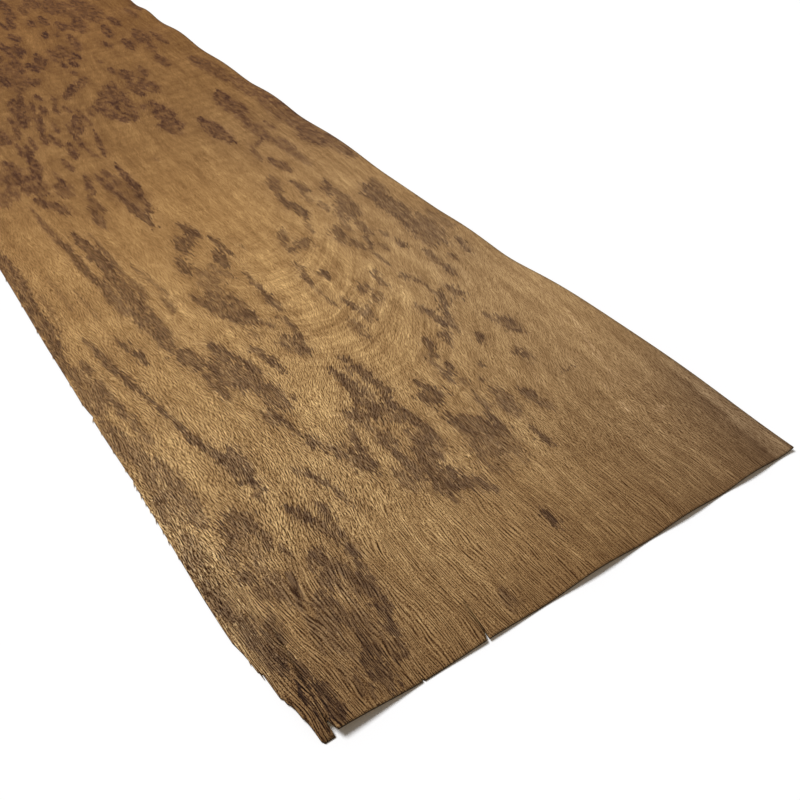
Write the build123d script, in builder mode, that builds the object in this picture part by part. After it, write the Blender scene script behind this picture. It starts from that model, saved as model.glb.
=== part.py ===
"""One leaf of sliced wood veneer, lying flat: a thin sheet, straight at its sawn right edge and
at both cut ends, torn along its left edge, cockled near the front and along the right edge.

Millimetres. X runs across the sheet, Y along its length and its grain, Z up. The origin is under
the middle of the sheet, on the plane that it lies on. The front cut is at the low end of Y.
"""

import os
from math import comb

from build123d import *

# Sheet
sheet_length = 915.0
sheet_width = 208.4
thickness = 0.6

# Torn left edge: how far back from the front cut, and how far in from the left limit
torn_edge = [
    (1.0, 5.4),
    (6.0, 5.1),
    (8.7, 4.8),
    (9.4, 4.5),
    (13.0, 4.3),
    (15.6, 3.7),
    (16.1, 3.3),
    (18.0, 3.2),
    (18.9, 2.65),
    (28.8, 2.4),
    (30.3, 1.5),
    (35.6, 1.2),
    (38.5, 0.9),
    (43.5, 0.05),
    (50.0, 0.0),
    (63.5, 0.15),
    (75.0, 0.55),
    (88.0, 1.0),
    (102.0, 1.45),
    (102.6, 1.85),
    (104.0, 1.5),
    (115.2, 1.75),
    (116.6, 2.15),
    (119.0, 1.9),
    (122.8, 2.1),
    (124.0, 2.6),
    (127.5, 2.3),
    (143.0, 2.35),
    (157.0, 2.45),
    (164.4, 2.6),
    (164.8, 3.45),
    (169.5, 2.9),
    (176.0, 2.5),
    (192.0, 2.95),
    (222.0, 3.5),
    (252.0, 4.5),
    (286.0, 5.5),
    (330.0, 6.3),
]
far_end_inset = 6.6

# Splinter at the front left corner, split off along the grain
splinter_end_inset = 6.0
splinter_width = 9.4
split_length = 42.0
split_drift = 3.8
split_neck_length = 5.0
split_neck_drift = -0.35
split_mouth = 1.1
split_neck = 0.15

# The sheet beside the splinter, which curls up from the front cut
curled_corner_span = 35.0
curled_corner_lift = 3.0

# How the splinter rises, as shares of that lift: from its end, which droops to the floor, back to
# the tip of the split, and across it from the torn edge to the split
splinter_rise = (0, 1.8, 0.3, 0.4, 0, 0)
splinter_tilt = (0, 0.2, 1.25, 1.1)

# Cockles at the front cut: how far the sheet rises, and how far back the wave dies away.
# Where each one meets the next is measured in from the right edge.
left_cockle_lift = 0.8
left_cockle_length = 30.0
middle_cockle_start = 122.0
middle_cockle_lift = 1.8
middle_cockle_length = 60.0
right_cockle_start = 75.4
right_cockle_lift = 1.4
right_cockle_length = 45.0

# Front right corner, where a cockle of the right edge runs into the front cut.
# The net pulls the sheet up like the frame of a curved panel: rows from the front cut back,
# each from the inner side to the right edge.
corner_span = 38.4
corner_length = 165.0
corner_net = [
    (0.0, 0.0, 4.2, 0.8, -1.0, 1.3),
    (0.0, 0.0, 3.4, 1.4, -0.6, 1.6),
    (0.0, 0.0, 1.2, 2.0, 1.2, 2.2),
    (0.0, 0.0, 1.2, 3.2, 4.4, 4.6),
    (0.0, 0.0, 1.6, 4.4, 6.2, 6.6),
    (0.0, 0.0, 0.9, 2.0, 2.6, 2.8),
    (0.0, 0.0, 0.9, 2.0, 2.6, 2.8),
    (0.0, 0.0, 1.6, 4.4, 6.0, 6.6),
    (0.0, 0.0, 1.0, 2.6, 3.6, 4.2),
    (0.0, 0.0, 0.0, 0.0, 0.0, 0.0),
    (0.0, 0.0, 0.0, 0.0, 0.0, 0.0),
]

# Cockles along the right edge: start and end, back from the front cut, and rise at the edge
edge_cockle_depth = 46.0
edge_cockles = [
    (165.0, 222.0, 0.9),
    (268.0, 358.0, 1.7),
    (358.0, 426.0, 1.75),
    (426.0, 494.0, 1.1),
    (498.0, 564.0, 2.1),
    (568.0, 612.0, 1.8),
    (612.0, 668.0, 2.4),
]

# Small splits in the front cut: how far in from the left limit, depth and width at the mouth
nick_inset = 39.6
nick_depth = 1.1
nick_mouth = 0.8
notch_inset = 63.6
notch_depth = 2.8
notch_mouth = 1.1
notch_lean = 0.9
notch_crack_length = 16.0
notch_crack_drift = 3.1
notch_crack_width = 0.25

# Limits of the sheet in plan
left = -sheet_width / 2
right = sheet_width / 2
front = -sheet_length / 2
back = sheet_length / 2

# How a wave runs over five stations of its net. An arch lies down at both ends; an open wave is
# at its highest at one end and lies down at the other.
stations = 5
arch_top = comb(stations - 1, stations // 2) / 2 ** (stations - 1)
arch = (0, 0, 1 / arch_top, 0, 0)
open_at_start = (1, 1, 0.5, 0, 0)
open_at_end = (0, 0, 0.5, 1, 1)


def wave_net(across, along, lift):
    """Heights of one wave: rows run back from the front, each row from left to right."""
    return [[lift * row * column for column in across] for row in along]


def raised_underside(x_from, x_to, y_from, y_to, net):
    """The curved underside of the sheet over one rectangle, drawn up by its net of heights."""
    rows = len(net)
    columns = len(net[0])
    points = []
    for column in range(columns):
        x = x_from + (x_to - x_from) * column / (columns - 1)
        line = []
        for row in range(rows):
            y = y_from + (y_to - y_from) * row / (rows - 1)
            line.append((x, y, net[row][column]))
        points.append(line)
    return Face.make_bezier_surface(points)


# Outline of the whole sheet: its torn edge, the far end, the sawn edge and the front cut
outline = [
    (left + splinter_end_inset, front),
    *[(left + inset, front + distance) for distance, inset in torn_edge],
    (left + far_end_inset, back),
    (right, back),
    (right, front),
]

# The two sides of the long split, from the front cut to its tip
split_x = left + splinter_width
split_tip = (split_x + split_drift, front + split_length)
splinter_side = [
    (split_x, front),
    (split_x + split_neck_drift, front + split_neck_length),
    split_tip,
]
curled_side = [
    (split_x + split_mouth, front),
    (split_x + split_neck_drift + split_neck, front + split_neck_length),
    split_tip,
]
curled_start = min(x for x, _ in curled_side)
curled_end = split_x + curled_corner_span
curled_outer = [(curled_end, front + split_length), (curled_end, front)]

# Every cockle but the curled corner: its rectangle in plan and its net of heights
middle_x = right - middle_cockle_start
right_x = right - right_cockle_start
corner_x = right - corner_span
cockles = [
    (
        curled_end,
        middle_x,
        front,
        front + left_cockle_length,
        wave_net(arch, open_at_start, left_cockle_lift),
    ),
    (
        middle_x,
        right_x,
        front,
        front + middle_cockle_length,
        wave_net(arch, open_at_start, middle_cockle_lift),
    ),
    (
        right_x,
        corner_x,
        front,
        front + right_cockle_length,
        wave_net(arch, open_at_start, right_cockle_lift),
    ),
    (corner_x, right, front, front + corner_length, corner_net),
]
for start, end, lift in edge_cockles:
    cockles.append(
        (
            right - edge_cockle_depth,
            right,
            front + start,
            front + end,
            wave_net(open_at_end, arch, lift),
        )
    )

# Tall enough to cut through the sheet wherever it rises
cut_height = 20.0

# The splinter, trimmed to the torn edge and along the split
with BuildPart() as splinter:
    extrude(
        raised_underside(
            left,
            split_tip[0],
            front,
            split_tip[1],
            wave_net(splinter_tilt, splinter_rise, curled_corner_lift),
        ),
        amount=thickness,
        dir=(0, 0, 1),
    )
    with BuildSketch():
        with BuildLine():
            Polyline(*outline, close=True)
        make_face()
    extrude(amount=cut_height, mode=Mode.INTERSECT)
    with BuildSketch():
        with BuildLine():
            Polyline(*splinter_side, *curled_outer, close=True)
        make_face()
    extrude(amount=cut_height, mode=Mode.SUBTRACT)

# The curled corner beside the long split, trimmed along the split
with BuildPart() as curled_corner:
    extrude(
        raised_underside(
            curled_start,
            curled_end,
            front,
            front + split_length,
            wave_net(open_at_start, open_at_start, curled_corner_lift),
        ),
        amount=thickness,
        dir=(0, 0, 1),
    )
    with BuildSketch():
        with BuildLine():
            Polyline(*curled_side, *curled_outer, close=True)
        make_face()
    extrude(amount=cut_height, mode=Mode.INTERSECT)

with BuildPart() as veneer_sheet:
    # Flat sheet with its torn edge
    with BuildSketch():
        with BuildLine():
            Polyline(*outline, close=True)
        make_face()
    extrude(amount=thickness)

    # Each cockle takes the place of the flat sheet over its rectangle
    for x_from, x_to, y_from, y_to, net in cockles:
        with BuildSketch():
            with Locations(((x_from + x_to) / 2, (y_from + y_to) / 2)):
                Rectangle(x_to - x_from, y_to - y_from)
        extrude(amount=thickness, mode=Mode.SUBTRACT)
        extrude(
            raised_underside(x_from, x_to, y_from, y_to, net),
            amount=thickness,
            dir=(0, 0, 1),
        )

    # The long split, with the splinter on its left and the curled corner on its right
    with BuildSketch():
        with Locations(((left + curled_end) / 2, front + split_length / 2)):
            Rectangle(curled_end - left, split_length)
    extrude(amount=thickness, mode=Mode.SUBTRACT)
    add(splinter.part)
    add(curled_corner.part)

    # The nick and the notch in the front cut, the notch running on as a fine crack
    nick_x = left + nick_inset
    notch_x = left + notch_inset
    notch_root = notch_x + notch_lean
    crack_tip = notch_x + notch_crack_drift
    with BuildSketch():
        with BuildLine():
            Polyline(
                (nick_x - nick_mouth / 2, front),
                (nick_x, front + nick_depth),
                (nick_x + nick_mouth / 2, front),
                close=True,
            )
        make_face()
        with BuildLine():
            Polyline(
                (notch_x - notch_mouth / 2, front),
                (notch_root - notch_crack_width / 2, front + notch_depth),
                (crack_tip, front + notch_crack_length),
                (notch_root + notch_crack_width / 2, front + notch_depth),
                (notch_x + notch_mouth / 2, front),
                close=True,
            )
        make_face()
    extrude(amount=cut_height, mode=Mode.SUBTRACT)

veneer_sheet.part.label = "veneer_sheet"

os.makedirs("parts", exist_ok=True)
export_step(veneer_sheet.part, "parts/veneer_sheet.step")

box = veneer_sheet.part.bounding_box()
print("solids", len(veneer_sheet.part.solids()), "faces", len(veneer_sheet.part.faces()))
print("volume", round(veneer_sheet.part.volume, 1), "box", box.min, box.max)
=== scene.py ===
"""The looks of a leaf of sliced wood veneer: its cockled, torn and split sheet as one closed mesh,
its mottled figure and open grain, on a white floor and seen as in the photograph."""

from functools import reduce
from math import comb, pi, radians, sin

import bpy
import numpy as np
from mathutils import Euler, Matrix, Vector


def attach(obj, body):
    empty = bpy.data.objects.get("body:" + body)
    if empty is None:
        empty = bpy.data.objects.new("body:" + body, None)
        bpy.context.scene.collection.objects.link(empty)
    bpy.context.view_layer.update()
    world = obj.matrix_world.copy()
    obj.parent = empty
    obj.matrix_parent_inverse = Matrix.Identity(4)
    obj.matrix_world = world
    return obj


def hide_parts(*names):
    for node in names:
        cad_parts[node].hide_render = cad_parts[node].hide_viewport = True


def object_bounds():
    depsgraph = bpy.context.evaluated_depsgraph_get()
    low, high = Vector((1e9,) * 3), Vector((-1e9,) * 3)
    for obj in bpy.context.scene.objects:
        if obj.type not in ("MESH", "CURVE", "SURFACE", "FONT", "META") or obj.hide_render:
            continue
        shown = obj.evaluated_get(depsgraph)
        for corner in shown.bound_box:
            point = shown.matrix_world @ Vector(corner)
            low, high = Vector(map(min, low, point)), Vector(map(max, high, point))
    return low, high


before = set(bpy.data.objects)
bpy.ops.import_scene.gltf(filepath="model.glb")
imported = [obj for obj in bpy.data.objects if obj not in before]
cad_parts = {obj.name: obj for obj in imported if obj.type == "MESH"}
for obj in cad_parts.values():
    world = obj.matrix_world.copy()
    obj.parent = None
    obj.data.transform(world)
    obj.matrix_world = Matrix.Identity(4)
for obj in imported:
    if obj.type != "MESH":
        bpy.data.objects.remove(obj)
cad_low, cad_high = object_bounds()

MM = 0.001
NODE = "veneer_sheet"

# The sheet, in millimetres. Places on it are given as across, from its left limit, and along,
# from its front cut. Its length and width come from the bounds of the parts in model.glb.
SHEET_WIDTH = (cad_high.x - cad_low.x) / MM
SHEET_LENGTH = (cad_high.y - cad_low.y) / MM
THICKNESS = 0.6

# Torn left edge: how far along, and how far in from the left limit
TORN_EDGE = [
    (0, 6), (1, 5.4), (6, 5.1), (8.7, 4.8), (9.4, 4.5), (13, 4.3), (15.6, 3.7), (16.1, 3.3), (18, 3.2),
    (18.9, 2.65), (28.8, 2.4), (30.3, 1.5), (35.6, 1.2), (38.5, 0.9), (43.5, 0.05), (50, 0),
    (63.5, 0.15), (75, 0.55), (88, 1), (102, 1.45), (102.6, 1.85), (104, 1.5), (115.2, 1.75),
    (116.6, 2.15), (119, 1.9), (122.8, 2.1), (124, 2.6), (127.5, 2.3), (143, 2.35), (157, 2.45),
    (164.4, 2.6), (164.8, 3.45), (169.5, 2.9), (176, 2.5), (192, 2.95), (222, 3.5), (252, 4.5),
    (286, 5.5), (330, 6.3), (915, 6.6),
]

# Loose fibres on the torn edge, pointing to the front: how far along, length, and reach outwards
LOOSE_FIBRES = [
    (31, 4.2, 0.55), (36.5, 3, 0.45), (72, 3.2, 0.25), (86, 3.6, 0.35), (94.5, 4.5, 0.6),
    (98.5, 3, 0.45), (104.5, 3.4, 0.65), (110, 3.2, 0.45), (113.5, 2.6, 0.5), (118.5, 3.6, 0.6),
    (122, 2.4, 0.55), (126, 4.4, 0.7), (134, 3.4, 0.45), (146, 3.8, 0.4), (157.5, 3, 0.4),
    (166.5, 3.4, 0.8), (178, 3, 0.4), (193, 4, 0.45), (214, 3.6, 0.45), (236, 4.2, 0.5),
    (259, 3.8, 0.5), (284, 4.4, 0.55), (312, 4, 0.6), (345, 4.6, 0.6),
]
FIBRE_ROOT, FIBRE_TIP = 0.50, 0.08

# Splits from the front cut: the line of each one as (along, across), and its open width
LONG_SPLIT = {"line": [(0, 9.95), (5, 9.125), (42, 13.2)], "open": [1.1, 0.02, 0]}
NICK = {"line": [(0, 39.6), (1.1, 39.6)], "open": [0.8, 0]}
NOTCH = {"line": [(0, 63.6), (2.8, 64.5), (16, 66.7)], "open": [1.1, 0.25, 0]}

# Cockles: a rectangle of the sheet, and a net of heights that draws it up like a curved panel.
# An arch lies down at both ends; an open wave is highest at one end and lies down at the other.
ARCH = (0, 0, 8 / 3, 0, 0)
OPEN_AT_START = (1, 1, 0.5, 0, 0)
OPEN_AT_END = (0, 0, 0.5, 1, 1)
CURLED_CORNER = (9.2, 44.4, 0, 42, OPEN_AT_START, OPEN_AT_START, 3)
SPLINTER_TILT, SPLINTER_RISE = (0, 0.2, 1.25, 1.1), (0, 1.8, 0.3, 0.4, 0, 0)
SPLINTER = (0, 13.2, 0, 42, SPLINTER_TILT, SPLINTER_RISE, 3)
FRONT_COCKLES = [
    (44.4, 86.4, 0, 30, ARCH, OPEN_AT_START, 0.8),
    (86.4, 133, 0, 60, ARCH, OPEN_AT_START, 1.8),
    (133, 170, 0, 45, ARCH, OPEN_AT_START, 1.4),
]
EDGE_DEPTH = 46
EDGE_COCKLES = [
    (165, 222, 0.9), (268, 358, 1.7), (358, 426, 1.75), (426, 494, 1.1), (498, 564, 2.1),
    (568, 612, 1.8), (612, 668, 2.4),
]
CORNER = (170, 208.4, 0, 165)
CORNER_NET = [
    (0, 0, 4.2, 0.8, -1, 1.3), (0, 0, 3.4, 1.4, -0.6, 1.6),
    (0, 0, 1.2, 2, 1.2, 2.2), (0, 0, 1.2, 3.2, 4.4, 4.6),
    (0, 0, 1.6, 4.4, 6.2, 6.6), (0, 0, 0.9, 2, 2.6, 2.8),
    (0, 0, 0.9, 2, 2.6, 2.8), (0, 0, 1.6, 4.4, 6, 6.6),
    (0, 0, 1, 2.6, 3.6, 4.2), (0, 0, 0, 0, 0, 0),
    (0, 0, 0, 0, 0, 0),
]

# Dark flames of the figure: front end (across, along), far end (across, along), half width, and
# depth of colour in percent, which is below zero in a streak paler than the ground
FIGURE = [
    # along 0 to 60
    (8.7, 4, 9.6, 20, 0.9, 130), (9.3, 19, 8.6, 36, 0.9, 95), (12.5, 2, 12.5, 17, 3.2, 80),
    (11.5, 18, 12, 31, 1.6, 55), (8, 26, 8, 43, 3.4, 58), (11, 34, 12, 43, 2.2, 58),
    (14, 38, 14, 50, 1.4, 42), (5.5, 38, 5, 52, 2.4, 50), (7, 43, 6, 52, 1.6, 62),
    (3.5, 50, 3, 72, 2.4, 45), (3, 53, 3, 60, 2, 55), (3, 60, 3.5, 71, 1.5, 75), (24, 4, 22, 12, 1.4, 45),
    (22, 8, 20, 30, 1.2, 32), (24, 24, 23, 41, 2, 42), (27, 18, 26, 34, 1.6, 36),
    (27.5, 28, 28, 44, 2, 48), (24, 45, 23, 58, 3.4, 52), (26, 49, 27, 58, 1.7, 72),
    (20.5, 48, 19, 61, 1.6, 45), (17, 50, 14, 66, 1.5, 45), (31, 3, 30, 18, 3.6, 75),
    (34, 14, 33, 31, 2.3, 58), (33, 28, 31, 45, 2.1, 58), (29, 28, 29, 40, 1.5, 50),
    (35, 43, 35, 52, 1.8, 62), (39, 49, 38.5, 61, 3.4, 75), (34, 55, 37, 60, 1.8, 55),
    (42, 46, 41, 56, 2.2, 55), (44, 36, 43, 48, 3, 60), (44, 23, 46, 38, 2.4, 75),
    (42, 16, 43, 27, 1.7, 72), (40.5, 10, 42, 20, 1.6, 58), (38, 10, 39, 26, 1.2, 40),
    (36, 18, 38, 36, 1.5, 38), (38, 34, 38, 48, 1.4, 45), (47, 36, 48, 50, 1.7, 60),
    (48.5, 49, 48, 59, 1.8, 68), (77, 4, 79, 13, 2, 40), (111, 20, 112, 32, 1.4, 85),
    (137, 52, 138, 66, 1.4, 72), (105, 47, 103, 57, 2.4, 62), (100, 52, 99, 61, 2.4, 66),
    (112, 54, 112, 61, 1.7, 36),
    # along 55 to 100
    (16, 61, 14, 68, 2.8, 62), (22, 55, 20, 68, 1.5, 50), (26.5, 69, 27, 74, 1.6, 60),
    (14, 69, 14, 79, 1.7, 48), (16, 75, 16, 80, 1.6, 58), (22, 80, 24.5, 91, 5.4, 72),
    (17, 73, 19, 86, 1.7, 55), (28, 70, 27, 85, 1.5, 62), (22, 70, 22, 81, 3, 35),
    (30.5, 62, 31, 70, 1.3, 50), (48.5, 56, 45.5, 68, 1.5, 60), (50, 59, 50, 69, 1.2, 50),
    (44.5, 71, 41, 83, 2.4, 76), (47, 65, 46, 73, 1.8, 52), (51, 70, 50, 79, 1.9, 70),
    (60, 70, 59, 84, 1.2, 58), (58, 82, 55, 94, 1.7, 80), (55, 91, 52, 98, 1.6, 52),
    (1.8, 72, 2, 86, 1.5, 45), (6, 76, 7, 92, 2.4, 34), (5.5, 82, 6, 92, 1.4, 40),
    (76, 81, 74, 93, 3.1, 78), (77, 89, 79, 101, 1.9, 74), (79, 98, 81, 106, 1.9, 72),
    (72, 82, 71, 94, 1.4, 48), (71, 91, 69, 102, 1.8, 70), (68, 97, 67, 105, 1.6, 58),
    (66, 101, 65, 110, 2.2, 76), (94, 59, 94, 71, 5, 78), (97, 56, 96, 67, 4.4, 74),
    (91, 55, 91, 65, 3, 60), (95, 70, 95, 83, 3.2, 64), (99, 70, 99, 82, 2.4, 58), (92, 66, 92, 76, 2, 55),
    (88, 69, 88, 83, 2.5, 60), (86, 65, 87, 75, 1.6, 58), (87, 78, 87, 87, 1.5, 60),
    (88, 83, 86, 93, 1.4, 70), (90, 87, 88, 97, 2.2, 52), (98, 79, 97, 91, 2.1, 60),
    (101, 79, 101, 89, 2, 60), (104, 79, 104, 93, 2.2, 75), (103, 75, 102, 81, 2.6, 45),
    (82, 63, 82, 78, 2.4, 42), (118, 72, 117, 85, 3.2, 68), (114, 81, 116.5, 92, 1.6, 70),
    (120, 73, 120, 85, 3.4, 60), (123, 73, 124, 83, 3.4, 70), (126, 67, 124, 77, 4, 72),
    (118, 62, 118, 75, 5.6, 52), (113, 61, 114, 71, 3.2, 48), (115, 57, 116, 67, 5, 32),
    (128.5, 70, 129, 82, 1.7, 68), (131, 81, 132, 95, 1.4, 60), (124, 58, 124, 69, 5, 40),
    (139, 75, 140, 92, 3.2, 60), (137, 72, 136, 82, 1.4, 45), (149.5, 75, 149, 86, 2.6, 68),
    (151, 67, 150, 77, 2, 42), (168, 82.5, 178, 83, 0.6, 60),
    # along 95 to 160
    (38, 94, 36.5, 102, 1.6, 72), (37, 100, 35, 111, 2.6, 72), (39, 103, 40, 118, 1.7, 58),
    (34.5, 104, 34, 121, 2, 70), (37, 109, 38, 122, 2.9, 70), (33, 115, 30, 131, 1.8, 75),
    (30, 128, 27, 152, 1.5, 78), (27, 148, 24, 172, 1.4, 74), (24, 168, 21, 190, 1.5, 74),
    (21, 184, 18, 217, 1.7, 70), (35.5, 91, 36, 95, 1.9, 52), (13, 91, 12, 101, 2.6, 48),
    (15, 97, 14, 113, 2.6, 58), (14, 107, 13, 131, 3.2, 58), (10, 98, 9, 120, 1.8, 40),
    (5, 103, 6, 121, 2, 45), (8, 110, 7, 130, 2.3, 48), (3.5, 96, 4, 110, 1.4, 40),
    (16, 138, 14, 162, 1.8, 45), (9, 128, 6, 160, 3.6, 55), (4.5, 136, 4, 162, 2.2, 55),
    (86, 105, 84.5, 114, 3, 74), (89, 103, 88, 113, 2.8, 62), (92.5, 102, 91, 111, 3, 76),
    (96, 103, 95, 112, 2.6, 70), (98.5, 97, 97, 107, 2.4, 60), (88, 97, 86, 105, 2, 48),
    (102.5, 99, 101, 113, 2.1, 78), (103, 89, 103, 103, 2.3, 78), (104, 111, 104, 123, 2.3, 70),
    (102.5, 119, 103, 134, 2.5, 75), (104.5, 126, 103.5, 137, 1.2, 75), (101, 131, 100, 137, 1.2, 72),
    (102, 138, 101.5, 144, 1.7, 75), (93.5, 111, 93, 122, 2.5, 68), (95, 118, 93.5, 140, 2.6, 78),
    (97, 111, 97, 123, 1.7, 52), (117.5, 97, 119, 107, 4.2, 78), (118, 106, 118, 114, 2, 72),
    (114.5, 98, 114, 105, 2, 62), (129, 105, 135, 115, 2.4, 74), (130, 118, 135, 126, 2, 62),
    (131, 110, 130, 122, 1.4, 50), (136.5, 126, 137.5, 135, 1.9, 70), (144, 124, 148, 135, 2, 64),
    (145.5, 103, 146, 108, 1.1, 68), (155, 116, 159, 125, 1.7, 68), (152, 129, 155, 142, 1.6, 55),
    (150, 136, 150.5, 151, 2, 78), (149, 148, 149, 157, 1.8, 45), (155, 138, 159, 151, 1.6, 72),
    (158, 146, 165, 160, 1.8, 76), (161, 156, 162, 171, 0.9, 50), (170, 149, 169, 161, 2.4, 64),
    (174, 115, 173, 128, 3.4, 62), (171, 124, 170, 134, 1.5, 50), (164, 96, 165.5, 107, 2.2, 55),
    (133, 99, 135, 104, 1.5, 42), (139.5, 96, 140, 101, 1, 48), (63, 111, 62, 124, 1.3, 70),
    (62, 120, 60.5, 133, 1.2, 68), (58.5, 122, 58, 132, 2.1, 58), (66.5, 129, 66, 148, 4.2, 72),
    (63, 142, 62, 154, 3.1, 66), (64, 148, 63, 162, 3.6, 64), (59, 149, 59, 170, 4.4, 70),
    (68.5, 152, 66, 168, 1.9, 80), (66, 162, 61, 184, 1.8, 76), (55, 154, 55, 172, 2.8, 66),
    (51, 146, 50, 166, 2.6, 55), (61, 168, 60, 182, 2.4, 70),
    # along 145 to 230
    (13, 158, 13, 184, 1.7, 55), (8, 166, 7, 200, 3.6, 48), (4.5, 166, 5, 192, 1.8, 50),
    (11, 174, 11, 188, 1.6, 60), (12, 191, 12, 202, 1.5, 62), (5, 194, 5, 224, 2.2, 62),
    (77, 149, 74.5, 166, 2, 82), (75, 160, 74, 171, 1.5, 66), (92, 152, 91.5, 167, 1.6, 72),
    (90, 154, 88, 171, 2.8, 60), (87, 160, 86.5, 169, 1.6, 70), (94, 160, 96, 182, 1.3, 62),
    (95.5, 170, 95, 185, 1.5, 68), (118, 146, 118.5, 153, 1.2, 68), (118, 152, 119, 164, 2.6, 45),
    (125, 157, 129, 161, 1.6, 64), (125.5, 160, 127, 171, 1.6, 50), (125.5, 167, 125, 181, 1.7, 76),
    (129, 161, 131, 171, 1.5, 50), (119, 173, 118.5, 187, 1.2, 60), (118.7, 184, 119, 206, 1.1, 55),
    (119.5, 195, 119.5, 207, 1.5, 68), (122, 209, 122, 219, 1.8, 76), (121, 204, 121, 214, 1.2, 45),
    (128.5, 196, 129, 205, 1.7, 80), (135, 175, 137, 187, 1.5, 66), (139, 176, 138.5, 186, 1.3, 60),
    (135, 166, 138, 174, 1.3, 50), (140, 168, 141, 175, 1.1, 45), (146, 174, 147, 188, 1.5, 66),
    (147, 186, 150, 190, 1.9, 68), (158.5, 174, 158, 181, 1.6, 64), (161, 169, 160, 176, 1.4, 64),
    (157.5, 189, 158, 208, 1, 60), (158, 205, 165, 223, 1.3, 66), (156, 208, 156, 221, 2, 52),
    (151, 216, 151, 228, 1.6, 60), (173, 197, 173.5, 208, 1.9, 66), (164.5, 201, 165, 209, 1.4, 45),
    (172, 211, 172, 219, 1.5, 50), (178, 165, 178.5, 178, 2.2, 62), (178, 176, 180, 193, 1.8, 50),
    (186.5, 176, 187, 182, 1.8, 45), (196, 175, 197, 190, 1.6, 60), (197.5, 184, 199, 192, 1.8, 58),
    (190, 194, 190, 226, 6.4, 62), (185, 192, 188, 214, 2.6, 50), (195, 196, 197, 222, 3.2, 50),
    (203, 200, 203, 223, 2.4, 38), (47, 190, 46, 206, 2.8, 60), (45, 186, 44, 206, 2, 60),
    (50, 170, 48, 188, 4.2, 72), (47, 203, 47, 224, 2.6, 66), (49.5, 192, 49.5, 230, 1.2, 62),
    (43, 205, 42, 232, 1.8, 60), (33.5, 186, 32, 198, 1.7, 72), (32, 196, 28.5, 210, 1.5, 70),
    (58, 212, 58, 226, 2.6, 52), (75, 194, 72, 208, 1.7, 70), (72, 206, 70, 221, 1.8, 66),
    (80, 186, 79, 206, 4.2, 70), (78, 202, 77, 220, 3.4, 64), (84, 184, 85, 198, 2.4, 70),
    (85, 196, 84, 214, 2.2, 60), (74, 198, 73, 210, 2.2, 50), (88.5, 177, 87, 186, 1.7, 58),
    (97.5, 188, 97.5, 204, 2.2, 74), (98, 200, 98.5, 227, 1.5, 66), (79, 174, 79, 181, 1.7, 36),
    (82, 218, 80, 232, 4.5, 40),
    # along 225 to 300
    (7, 215, 7.5, 262, 3.8, 75), (8, 252, 9, 314, 3.6, 75), (40, 220, 40, 262, 2.6, 62),
    (47, 222, 46, 268, 3.6, 65), (48, 260, 45, 304, 3.4, 78), (38, 256, 38, 300, 2, 62),
    (37, 294, 36, 342, 1.6, 50), (62, 222, 57, 262, 1.2, 50), (53, 230, 52, 252, 2.2, 42),
    (52, 252, 52, 300, 0.9, 40), (77, 237, 78, 253, 3, 72), (84, 255, 86, 271, 3.6, 75),
    (96, 264, 92, 283, 2.5, 75), (90, 262, 93, 272, 2.6, 62), (94, 232, 96, 249, 3, 75),
    (101, 240, 99, 264, 1.6, 78), (84, 222, 82, 238, 4, 50), (92, 222, 87, 240, 1.6, 45),
    (109, 240, 107, 254, 1, 35), (126, 234, 133, 249, 2.4, 62), (125, 227, 139, 233, 2.8, 62),
    (133, 226, 139, 232, 2.4, 55), (143, 235, 147, 250, 1.2, 52), (149, 252, 149, 272, 2.8, 80),
    (146, 262, 150, 293, 1.8, 66), (151, 284, 155, 302, 3, 58), (158, 262, 160, 276, 1.2, 40),
    (152, 222, 156, 236, 3, 62), (160, 226, 161, 240, 1.6, 45), (163, 273, 162, 291, 2.4, 62),
    (170, 264, 178, 281, 2.4, 66), (173, 240, 176, 270, 3, 56), (169, 238, 171, 257, 3.6, 68),
    (164, 238, 166, 251, 2.4, 58), (161, 249, 163, 263, 1.6, 50), (166, 218, 168, 237, 2.2, 52),
    (190, 218, 192, 262, 5.5, 70), (188, 246, 190, 261, 3, 72), (195, 248, 199, 267, 3, 52),
    (14, 232, 14, 262, 1, 25), (22, 240, 21, 276, 1, 22), (29, 226, 28, 256, 1, 25),
    # along 290 to 400
    (81, 288, 79, 332, 2.6, 82), (79, 326, 77, 358, 2.3, 62), (85, 302, 89, 332, 2.6, 72),
    (90, 324, 91, 366, 2, 78), (83, 342, 83, 362, 2, 55), (84, 306, 84, 352, 4.2, 36),
    (60, 300, 62, 325, 2.4, 60), (66, 316, 65, 336, 2, 48), (68, 337, 73, 362, 2, 60),
    (69, 368, 69, 387, 1.6, 66), (50, 324, 47, 342, 2.6, 66), (44, 335, 42, 351, 2.4, 66),
    (55, 340, 54, 357, 1.6, 52), (47, 352, 44, 379, 4.6, 64), (39, 368, 42, 389, 2.4, 62),
    (50, 368, 52, 390, 2.6, 62), (53, 376, 55, 406, 2.4, 64), (33, 362, 37, 384, 2.4, 50),
    (90, 375, 98, 414, 1.4, 66), (86, 374, 85, 396, 1.2, 45), (84, 393, 86, 414, 1.8, 60),
    (76, 383, 79, 405, 2.4, 62), (74, 402, 74, 422, 1.8, 52), (59, 358, 60, 378, 1, 35),
    (112, 352, 114, 362, 0.8, 25), (157, 353, 157, 392, 4.8, 72), (137, 383, 140, 404, 6.2, 72),
    (141, 398, 143, 432, 5.4, 76), (134, 424, 137, 432, 2, 50), (177, 344, 178, 388, 3.4, 50),
    (179, 385, 181, 420, 4.8, 62), (183, 404, 185, 425, 2.4, 68), (184, 380, 186, 398, 1.4, 55),
    (160, 320, 164, 341, 1.5, 46), (167, 338, 175, 346, 1.6, 52), (167, 300, 165, 321, 3, 58),
    (180, 300, 178, 346, 2.6, 44), (183, 320, 183, 342, 1.4, 40), (198, 318, 200, 346, 6, 66),
    (204, 298, 205, 330, 5, 55), (203, 340, 204, 400, 6, 55), (198, 352, 199, 400, 3, 40),
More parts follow.
